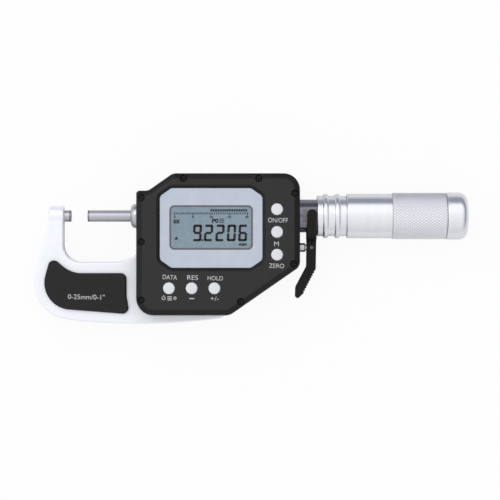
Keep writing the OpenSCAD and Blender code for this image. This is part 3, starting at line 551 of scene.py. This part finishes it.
def digit_marks(digit, left, right, top, bottom, stroke=2.5, slant=0.055):
    """Outlines of a seven-segment digit: each lit bar is a six-sided strip between two corners of the
    digit's grid, carried on into the outer corners, stopped short at the middle and leant to the right."""
    half, short = stroke / 2, 0.12
    point = 0.55 * half
    middle = (top + bottom) / 2
    left, right, top, bottom = left + half, right - half, top + half, bottom - half
    ends = {
        "a": (left, top, right, top), "b": (right, top, right, middle), "c": (right, middle, right, bottom),
        "d": (left, bottom, right, bottom), "e": (left, middle, left, bottom), "f": (left, top, left, middle),
        "g": (left, middle, right, middle),
    }
    lit = {"0": "abcdef", "2": "abdeg", "6": "acdefg", "9": "abcdfg"}[digit]
    outlines = []
    for bar in lit:
        start, end = np.reshape(ends[bar], (2, 2))
        along = (end - start) / np.linalg.norm(end - start)
        across = np.array([-along[1], along[0]]) * half
        start = start + along * (short if start[1] == middle else -point)
        end = end - along * (short if end[1] == middle else -point)
        strip = np.array([start, start + along * point + across, end - along * point + across,
                          end, end - along * point - across, start + along * point - across])
        outlines.append(strip + np.outer(slant * (middle - strip[:, 1]), [1, 0]))
    return outlines


digit_lefts = [192.9, 204.1, 215.6, 227.1, 238.4]
digit_width, digit_top, digit_bottom = 8.9, 224.5, 241.4
reading = [bar for digit, left in zip("92206", digit_lefts)
           for bar in digit_marks(digit, left, left + digit_width, digit_top, digit_bottom)]
decimal_point = bar_mark(201.4, 239.4, 203.2, 241.2)
triangle = [(174.3, 239.6), (178.3, 239.6), (176.3, 236.2)]
gauge_left, gauge_step, gauge_width, gauge_top, gauge_bottom = 210.4, 2.33, 1.8, 209.2, 211.5
gauge = [bar_mark(left, gauge_top, left + gauge_width, gauge_bottom)
         for left in gauge_left + gauge_step * np.arange(16)]
tick_left, tick_step, tick_width, tick_top, tick_bottom, long_bottom = 174.1, 1.825, 0.8, 212.4, 214.4, 215.4
ticks = [bar_mark(tick_left + tick_step * i, tick_top, tick_left + tick_step * i + tick_width,
                  tick_bottom if i % 10 else long_bottom) for i in range(41)]
box_left, box_right, box_top, box_bottom, box_line, box_lap = 173.6, 179.4, 219.8, 223.4, 0.9, 0.2
cell_lefts, cell_top, cell_width, cell_bottom = (175.0, 176.8), 221.0, 1.4, 222.3
boxed_sign = [
    bar_mark(box_left, box_top, box_right, box_top + box_line),
    bar_mark(box_left, box_bottom - box_line, box_right, box_bottom),
    bar_mark(box_left, box_top + box_lap, box_left + box_line, box_bottom - box_lap),
    bar_mark(box_right - box_line, box_top + box_lap, box_right, box_bottom - box_lap),
]
boxed_sign += [bar_mark(left, cell_top, left + cell_width, cell_bottom) for left in cell_lefts]
bar_line = 0.8
bar_places = [(219.6, 223.8, 218.6), (219.2, 224.2, 220.3), (219.2, 224.2, 222.0)]
barred_sign = [bar_mark(left, top, right, top + bar_line) for left, right, top in bar_places]
crystal_black = finish("crystal_black", tint(26, 20, 27), tint(34, 28, 35), 0.5, (0.25, 0.3), 0.0005,
                       Specular_IOR_Level=0.3)
glass_bold = 0.05
words_on_glass = [
    lettering(words, to_mm(x, y, glass_top), width * point_size, cap * point_size, glass_top, bold=glass_bold)
    for words, x, y, width, cap in (
        ("mm", 242.9, 244.6, 7.6, 2.6), ("P0", 215.2, 220.8, 6.4, 4.4), ("0", 174.6, 217.0, 1.7, 2.2),
        ("5", 193.0, 217.0, 1.7, 2.2), ("10", 211.2, 217.0, 3.2, 2.2), ("15", 229.4, 217.0, 3.2, 2.2),
        ("20", 247.0, 217.0, 3.2, 2.2),
    )
]
lit_marks = reading + [decimal_point, triangle] + gauge + ticks + boxed_sign + barred_sign
piece("display_reading", marks(lit_marks, glass_top) + words_on_glass, crystal_black, "frame_body")


# Keys: six moulded light grey caps with soft edges, each sprung on its switch and held under the face by
# a flange. Their names are printed in white beside them.
key_plastic = finish("key_plastic", tint(214, 216, 219), tint(226, 228, 230), 0.4, (0.3, 0.4), 0.002)
column_x, row_y = 113.9, -39.75
key_places = {
    "on_off": (column_x, 3.4), "mode": (column_x, -9.0), "zero": (column_x, -21.4),
    "data": (54.9, row_y), "resolution": (67.3, row_y), "hold": (79.7, row_y),
}
key_r, key_top, key_foot = 3.2, 18.1, 13.7
flange_r, flange_top = key_r + 1, key_foot + 0.7
stem_top, rim_base, rim_rise, rim_w = key_top - 1, key_top - 0.72, 0.6, 0.75
quarter = np.linspace(0, np.pi / 2, 9)
crown_r, crown_drop = [2.0, 1.2, 0.5, 0.05], np.array([0.045, 0.016, 0.003, 0.0])
key_radius = np.concatenate([[0.1, flange_r, flange_r, key_r, key_r], key_r - rim_w + rim_w * np.cos(quarter),
                             crown_r])[:, None]
key_height = np.concatenate([[key_foot, key_foot, flange_top, flange_top, stem_top],
                             rim_base + rim_rise * np.sin(quarter), key_top - crown_drop])[:, None]
turn = np.linspace(0, 2 * np.pi, 72, endpoint=False)
key_rings = np.stack([key_radius * np.cos(turn), key_radius * np.sin(turn),
                      np.repeat(key_height, len(turn), 1)], axis=-1)
for key, at in key_places.items():
    piece(key + "_cap", [carried(key_rings + [*at, 0])], key_plastic,
          "key_" + key, ["key_" + key])

face_top, face_point, face_ink = 17.5, 0.546, 0.012
key_words = [
    lettering(words, to_mm(x, y, face_top), width * face_point, cap * face_point, face_top, lean)
    for words, x, y, width, cap, lean in (
        ("ON/OFF", 278.0, 220.2, 19.6, 4.6, -1.0), ("M", 276.5, 243.8, 4.6, 4.4, 0),
        ("ZERO", 276.6, 265.8, 15.0, 4.4, -1.5), ("DATA", 169.9, 277.2, 14.2, 4.4, -3.0),
        ("RES", 192.6, 277.5, 10.8, 4.6, -1.5), ("HOLD", 215.3, 278.2, 15.2, 4.2, -1.5),
        ("+/-", 214.6, 298.6, 8.2, 4.0, -2),
    )
]


def ring_mark(x, y, radius, stroke):
    """Small printed ring: a flat band between two circles of picture points."""
    turn = np.linspace(0, 2 * np.pi, 24, endpoint=False)
    inner = radius - stroke
    rims = [at_height(to_mm(x + r * np.cos(turn), y - r * np.sin(turn), face_top), face_top + rise)
            for r, rise in ((radius, 0), (radius, 2 * face_ink), (inner, 2 * face_ink), (inner, 0))]
    return carried(np.stack(rims), "joined")


minus_sign = bar_mark(189.2, 298.1, 194.2, 299.1)
three_bars = [bar_mark(167.4, top, 171.8, top + bar_line) for top in (296.3, 298.0, 299.6)]
ring_stem = bar_mark(163.2, 295.3, 164.0, 297.0)
rings_below = [ring_mark(163.6, 298.2, radius=1.9, stroke=0.7),
               ring_mark(174.9, 298.2, radius=1.6, stroke=0.7)]
bars_below = marks([minus_sign, *three_bars, ring_stem], face_top + face_ink, face_ink)
piece("key_lettering", key_words + bars_below + rings_below, white_print, "frame_body")


# Inside the housing: the circuit board with its switches and reader, the coin cell with its contact, and
# the data socket in the upper wall. They come as solids and get their own finishes.
def dress(material, *nodes):
    """Gives solids of the frame a finish."""
    for node in nodes:
        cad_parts[node].data.materials.clear()
        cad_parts[node].data.materials.append(material)


board_green = finish("board_green", tint(22, 74, 44), tint(34, 96, 58), 0.8, (0.3, 0.42), 0.004)
brass = finish("brass", tint(176, 140, 70), tint(202, 166, 92), 0.15, (0.25, 0.38), 0.0012, turning_marks,
               Metallic=1.0)
black_plastic = finish("black_plastic", tint(28, 28, 30), tint(40, 40, 42), 0.2, (0.4, 0.55), 0.006)
cell_steel = finish("cell_steel", tint(186, 188, 190), tint(210, 212, 214), 0.3, (0.22, 0.34), 0.001,
                    Metallic=1.0)
dress(board_green, "circuit_board")
dress(brass, "key_switches", "cell_contact")
dress(black_plastic, "reader_head", "data_socket")
dress(cell_steel, "coin_cell")


# Battery cap: a round cap moulded in black plastic and let into the back over the coin cell. It is turned
# with a coin in its slot.
cap_disc = put("battery_disc", merged_copy("battery_cap"), black_plastic,
               "cap_body", ["battery_cap"])
ease_edges(cap_disc, width=0.2)


# Retract fork: a black oxide lever that straddles the sleeve and swings on a pin through the eye of a
# plated stud. Its lower end is bent forward and serrated for the thumb.
fork_black = finish("fork_black", tint(14, 10, 7), tint(19, 15, 11), 0.25, (0.42, 0.54), 0.004,
                    Specular_IOR_Level=0.2)
fork_lever = put("fork_lever", merged_copy("retract_fork"), fork_black,
                 "fork_body", ["retract_fork"])
ease_edges(fork_lever, width=0.28, segments=3)
plated_stud = put("plated_stud", merged_copy("fork_stud"), satin_steel,
                  "frame_body", ["fork_stud"])
ease_edges(plated_stud, width=0.1)
bulb_start, bulb_end, bulb_r, bulb_bore, stud_y = 126.65, 129.75, 2.5, 1.65, -17.5
bulb_corners = [(bulb_start, bulb_bore, 0.1), (bulb_start, bulb_r, 0.3), (bulb_end, bulb_r, 0.5),
                (bulb_end, bulb_bore, 0.1)]
bulb_points, bulb_faces = turned(rounded_path(bulb_corners, lead=0.02), count=48, closed=True)
piece("stud_bulb", [(bulb_points + [0, stud_y, 0], bulb_faces)], satin_steel, "frame_body")
pin_steel = finish("pin_steel", tint(92, 92, 95), tint(108, 108, 111), 0.12, (0.3, 0.42), 0.0008,
                   Metallic=1.0)
dress(pin_steel, "fork_pin")
dress(satin_steel, "stud_nut", "spring_stop")


# Retract collar: turned from satin chromed steel with two round ribs; its tail tube runs back inside the
# thimble and ends in the plate that keeps the spindle from turning. A coil spring round the sleeve's neck
# pushes it home.
satin_chrome = finish("satin_chrome", tint(229, 230, 233), tint(236, 237, 240), 0.12, (0.22, 0.27), 0.0002,
                      turning_marks, Metallic=1.0)
collar_x, collar_l, collar_r, collar_bore, wall_t = 136.2, 16.2, 11.15, 7.65, 3.3
rib_r, rib_half, rib_foot, foot_rise = 12.25, 1.5, 2.0, 0.06
tail_l, tail_r, tail_bore = 34.4, 10.4, 9.15
half_turn = np.linspace(0, np.pi, 15)
rib_rise = foot_rise + (rib_r - collar_r - foot_rise) * np.sin(half_turn) ** 0.8
collar_profile = [(0, collar_bore), (0, 10.6), (0.05, 10.85), (0.2, 11.05), (0.45, collar_r), (0.8, collar_r)]
for rib in (4.7, 11.2):
    collar_profile += [(rib - rib_foot, collar_r), (rib - rib_foot + 0.25, collar_r + foot_rise / 2)]
    collar_profile += zip(rib - rib_half * np.cos(half_turn), collar_r + rib_rise)
    collar_profile += [(rib + rib_foot - 0.25, collar_r + foot_rise / 2), (rib + rib_foot, collar_r)]
collar_profile += [
    (collar_l - 0.7, collar_r), (collar_l - 0.35, collar_r), (collar_l - 0.1, collar_r - 0.1),
    (collar_l, collar_r - 0.35), (collar_l, tail_r), (tail_l, tail_r), (tail_l, tail_bore),
    (wall_t, tail_bore), (wall_t, collar_bore),
]
piece("ribbed_collar", [turned(np.array(collar_profile) + [collar_x, 0], count=144, closed=True)],
      satin_chrome, "carriage", ["retract_collar"])
dress(satin_steel, "key_plate")
spring_steel = finish("spring_steel", tint(120, 122, 128), tint(150, 152, 158), 0.2, (0.25, 0.4), 0.001,
                      Metallic=1.0)
coil_spring = put("coil_spring", merged_copy("return_spring"), spring_steel,
                  "frame_body", ["return_spring"])
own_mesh(coil_spring)


# Thimble: a smooth satin chromed tube with a bearing bush and the drive nut inside, a diamond knurled grip
# pushed over its back half, and a domed end cap screwed in behind it.
thimble_x, knurl_x, cap_x, end_x = 152.65, 177.55, 207.9, 219.75
thimble_r, grip_r, cap_r, neck_r = 12.3, 12.9, 13.0, 11.6
front_bore, web_bore, back_bore, web_start, web_end = 11.1, 7.43, 9.5, 173.3, 188.9
thimble_corners = [
    (thimble_x, front_bore, 0.1), (thimble_x, thimble_r, 0.45), (knurl_x, thimble_r, 0.1),
    (knurl_x, neck_r, 0.1), (cap_x, neck_r, 0.1), (cap_x, back_bore, 0.1), (web_end, back_bore, 0.1),
    (web_end, web_bore, 0.1), (web_start, web_bore, 0.1), (web_start, front_bore, 0.1),
]
piece("thimble_tube", [turned(rounded_path(thimble_corners, steps=6, lead=0.1), count=144, closed=True)],
      satin_chrome, "thimble_body", ["thimble"])
dress(brass, "thimble_bush", "drive_nut")
plug_l, plug_r, plug_bore, dome_t, dome_fall, dome_r, cap_core = 4, 9.47, 7.47, 2.8, 0.45, 4.6, 0.05
cap_corners = [
    (cap_x - plug_l, plug_bore, 0.1), (cap_x - plug_l, plug_r, 0.2), (cap_x, plug_r, 0.1),
    (cap_x, cap_r, 0.5), (end_x - dome_fall, cap_r, dome_r), (end_x, cap_core, 0.02),
    (end_x - dome_t, cap_core, 0.02), (end_x - dome_t, plug_bore, 0.3),
]
piece("end_dome", [turned(rounded_path(cap_corners, steps=15, lead=0.01), count=144, closed=True)],
      satin_chrome, "thimble_body", ["end_cap"])


def knurled_tube(start, end, radius, bore, around=50, pitch=2.3, depth=0.42, cells=8):
    """Tube with a diamond knurl, and how deep each point lies: two families of grooves cross on it, and the
    height is the lesser of two triangle waves in the turn plus and minus the run along the axis, cut flat
    at the top and fading out at the ends."""
    steepness, fade_l, end_fall = 1.25, 0.7, 0.35
    count = around * cells
    x = np.linspace(start, end, int((end - start) / pitch * cells) + 1)[:, None]
    turn = np.linspace(0, 2 * np.pi, count, endpoint=False)
    place, run = around * turn / (2 * np.pi), (x - start) / pitch
    waves = [np.abs(2 * ((place + way * run) % 1) - 1) for way in (-1, 1)]
    fade = np.clip(np.minimum(x - start, end - x) / fade_l, 0, 1)
    proud = np.minimum(1, steepness * np.minimum(*waves)) * fade
    knurl_r = radius - depth + depth * proud - end_fall * (1 - fade) ** 2
    knurl = np.stack([np.repeat(x, count, 1), knurl_r * np.cos(turn), knurl_r * np.sin(turn)], axis=-1)
    bore_ends = [np.stack([np.full(count, at), bore * np.cos(turn), bore * np.sin(turn)], axis=-1)
                 for at in (end, start)]
    groove = np.concatenate([(1 - proud).ravel(), np.zeros(2 * count)])
    return carried(np.concatenate([knurl, np.stack(bore_ends)]), "joined"), groove


knurl_chrome = finish("knurl_chrome", tint(250, 250, 252), tint(253, 253, 255), 0.3, (0.4, 0.46), 0.0004,
                      Metallic=1.0)
# The grooves take a darker colour by their depth: painted shade in the knurl's hollows.
tree = knurl_chrome.node_tree
groove_depth = add_node(tree, "Attribute", attribute_name="groove")
painted_groove_shade = add_node(tree, "Mix", data_type="RGBA")
painted_groove_shade.inputs[colour_b].default_value = tint(206, 206, 215)
knurl_colour = tree.nodes["Principled BSDF"].inputs["Base Color"]
join_nodes(
    tree,
    (knurl_colour.links[0].from_socket, painted_groove_shade.inputs[colour_a]),
    (groove_depth.outputs["Fac"], painted_groove_shade.inputs[0]),
    (painted_groove_shade.outputs[colour_out], knurl_colour),
)
sleeve_bore = 11.63
knurl_shape, groove = knurled_tube(knurl_x, cap_x, grip_r, sleeve_bore)
knurled_sleeve = piece("knurled_sleeve", [knurl_shape], knurl_chrome,
                       "thimble_body", ["knurled_grip"], crease=180)
knurled_sleeve.data.attributes.new("groove", "FLOAT", "POINT").data.foreach_set("value", groove)


# Spindle: a hardened and ground rod with a carbide tip, a screw at its back and the bracket of the
# measuring scale clamped on it.
put("spindle_rod", merged_copy("spindle"), ground_steel, "spindle_body", ["spindle"])
opening = 9.22
piece("spindle_carbide", [turned_rod(opening, opening + tip_t, spindle_r, tip_ease, braze_ease)], carbide,
      "spindle_body", ["spindle_tip"])
scale_glass = finish("scale_glass", tint(150, 170, 190), tint(170, 190, 205), 0.4, (0.08, 0.14), 0.0003)
dress(satin_steel, "scale_bracket")
dress(scale_glass, "glass_scale")


# Studio: a sheet of white paper that keeps the micrometer's soft shadow, a soft lamp from the upper left,
# and a white tent that is open low down on the far side and all up the right side, so that turned pieces
# and bevels show their form.
lamp_at, lamp_to = np.array([-200, 350, 620]) * mm, np.array([90, -20, 0]) * mm
lamp_light = bpy.data.lights.new("soft_lamp", "AREA")
lamp_light.size = 400 * mm
lamp_light.energy = 0.55
lamp = bpy.data.objects.new("soft_lamp", lamp_light)
lamp.location = lamp_at
lamp.rotation_euler = mathutils.Vector(lamp_to - lamp_at).to_track_quat("-Z", "Y").to_euler()
bpy.context.scene.collection.objects.link(lamp)

floor_half, floor_gap = 3000 * mm, 0.05 * mm
floor_z = cad_box[0][2] - floor_gap
floor_corners = [(x * floor_half, y * floor_half, floor_z) for x, y in ((-1, -1), (1, -1), (1, 1), (-1, 1))]
floor_mesh = bpy.data.meshes.new("floor")
floor_mesh.from_pydata(floor_corners, [], [(0, 1, 2, 3)])
floor = bpy.data.objects.new("floor", floor_mesh)
bpy.context.scene.collection.objects.link(floor)
floor_paper = bpy.data.materials.new("floor_paper")
floor_paper.use_nodes = True
floor_mesh.materials.append(floor_paper)
tree = floor_paper.node_tree
paper = tree.nodes["Principled BSDF"]
paper.inputs["Base Color"].default_value = (0.86, 0.86, 0.86, 1)
paper.inputs["Roughness"].default_value = 0.9
paper.inputs["Specular IOR Level"].default_value = 0.0
# Seen in reflections, the paper beyond the micrometer gives way to a dim glow: a painted dark reflection on
# the metal pieces.
dim_room = (0.31, 0.33, 0.40, 1)
painted_room_reflection = add_node(tree, "Emission", Color=dim_room)
white = add_node(tree, "Emission")
spot = add_node(tree, "TexCoord")
spot_parts = add_node(tree, "SeparateXYZ")
beyond = add_node(tree, "MapRange", From_Min=40 * mm, From_Max=130 * mm)
seen = add_node(tree, "LightPath")
painted_reflection_share = add_node(tree, "Math", operation="MULTIPLY")
white_share = add_node(tree, "Math", operation="MULTIPLY")
white_share.inputs[1].default_value = 0.92
painted_reflection_blend = add_node(tree, "MixShader")
near_blend = add_node(tree, "MixShader")
join_nodes(
    tree,
    (spot.outputs["Object"], spot_parts.inputs["Vector"]),
    (spot_parts.outputs["Y"], beyond.inputs["Value"]),
    (beyond.outputs["Result"], painted_reflection_share.inputs[0]),
    (seen.outputs["Is Glossy Ray"], painted_reflection_share.inputs[1]),
    (painted_reflection_share.outputs[0], painted_reflection_blend.inputs["Fac"]),
    (paper.outputs["BSDF"], painted_reflection_blend.inputs[1]),
    (painted_room_reflection.outputs["Emission"], painted_reflection_blend.inputs[2]),
    (seen.outputs["Is Camera Ray"], white_share.inputs[0]),
    (white_share.outputs[0], near_blend.inputs["Fac"]),
    (painted_reflection_blend.outputs["Shader"], near_blend.inputs[1]),
    (white.outputs["Emission"], near_blend.inputs[2]),
    (near_blend.outputs["Shader"], tree.nodes["Material Output"].inputs["Surface"]),
)

world = bpy.data.worlds.new("studio")
bpy.context.scene.world = world
world.use_nodes = True
tree = world.node_tree
sky = tree.nodes["Background"]
coords = add_node(tree, "TexCoord")
parts = add_node(tree, "SeparateXYZ")
angle = add_node(tree, "Math", operation="ARCTAN2")
near_to_far = add_node(tree, "MapRange", From_Min=-np.pi / 2, From_Max=np.pi / 2)
tent = add_node(tree, "ValToRGB")
tent_tint = np.array([0.985, 0.99, 1.0])
tent_tones = [(0.0, 0.74), (0.25, 0.92), (0.5, 1.03), (0.56, 1.12), (0.7, 1.2), (1.0, 1.2)]
while len(tent.color_ramp.elements) < len(tent_tones):
    tent.color_ramp.elements.new(0.5)
for stop, (at, tone) in zip(tent.color_ramp.elements, tent_tones):
    stop.position = at
    stop.color = (*tone * tent_tint, 1)
low_down = add_node(tree, "MapRange", From_Min=0.5, From_Max=0.36)
least = add_node(tree, "Math", operation="MINIMUM")
not_near = add_node(tree, "MapRange", From_Min=-0.85, From_Max=-0.35)
open_side = add_node(tree, "Math", operation="MULTIPLY")
right_side = add_node(tree, "MapRange", From_Min=0.5, From_Max=1.05)
most = add_node(tree, "Math", operation="MAXIMUM")
around = add_node(tree, "Mix", data_type="RGBA")
around.inputs[colour_b].default_value = dim_room
path = add_node(tree, "LightPath")
plain = add_node(tree, "Mix", data_type="RGBA")
plain.inputs[colour_b].default_value = (1, 1, 1, 1)
join_nodes(
    tree,
    (coords.outputs["Generated"], parts.inputs["Vector"]),
    (parts.outputs["Y"], angle.inputs[0]),
    (parts.outputs["Z"], angle.inputs[1]),
    (angle.outputs[0], near_to_far.inputs["Value"]),
    (near_to_far.outputs["Result"], tent.inputs["Fac"]),
    (parts.outputs["Z"], low_down.inputs["Value"]),
    (parts.outputs["X"], least.inputs[0]),
    (parts.outputs["Y"], least.inputs[1]),
    (least.outputs[0], not_near.inputs["Value"]),
    (low_down.outputs["Result"], open_side.inputs[0]),
    (not_near.outputs["Result"], open_side.inputs[1]),
    (parts.outputs["X"], right_side.inputs["Value"]),
    (open_side.outputs[0], most.inputs[0]),
    (right_side.outputs["Result"], most.inputs[1]),
    (most.outputs[0], around.inputs[0]),
    (tent.outputs["Color"], around.inputs[colour_a]),
    (path.outputs["Is Camera Ray"], plain.inputs[0]),
    (around.outputs[colour_out], plain.inputs[colour_a]),
    (plain.outputs[colour_out], sky.inputs["Color"]),
)

bpy.context.scene.view_settings.view_transform = "Standard"
